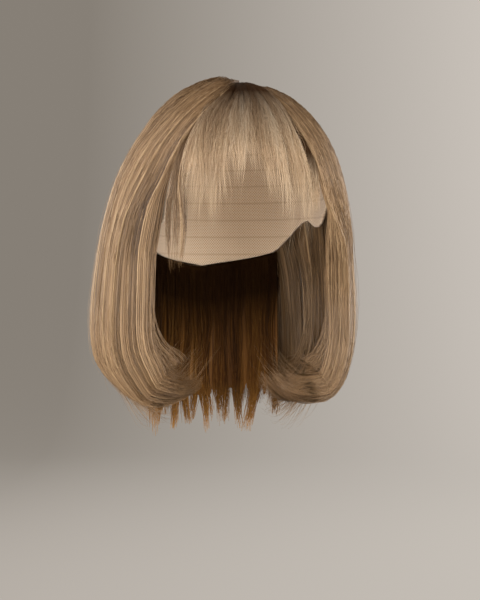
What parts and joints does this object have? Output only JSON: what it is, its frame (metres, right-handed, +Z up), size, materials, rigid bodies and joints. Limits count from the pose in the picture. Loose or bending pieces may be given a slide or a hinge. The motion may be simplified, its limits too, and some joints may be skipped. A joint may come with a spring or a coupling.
{
  "type": "bob wig",
  "caption": "Chin-length bob wig of fair hair on a thin cap, with a wispy fringe, face-framing locks and ends that curl under; open below and in front for a head.",
  "frame": {"origin": "the point of the cap's inside that sits on the crown of the head", "axes": "+Z up through the crown, -Y the way the wearer faces, +X the wearer's left"},
  "size_m": [0.2506, 0.2449, 0.3188],
  "materials": {
    "cap_net": "fine matt net",
    "hair_lengths": "glossy combed hair, dark at the roots",
    "hair_fringe": "glossy fine hair, pale at the ends",
    "hair_under": "warm golden brown hair"
  },
  "bodies": {
    "root": {"cap": "cap_net", "side_lengths_left": "hair_lengths", "side_lengths_right": "hair_lengths", "back_lengths": "hair_lengths", "nape_hair": "hair_under", "fringe_left": "hair_fringe", "fringe_right": "hair_fringe", "temple_lock_left": "hair_fringe", "temple_lock_right": "hair_fringe"}
  },
  "joints": []
}
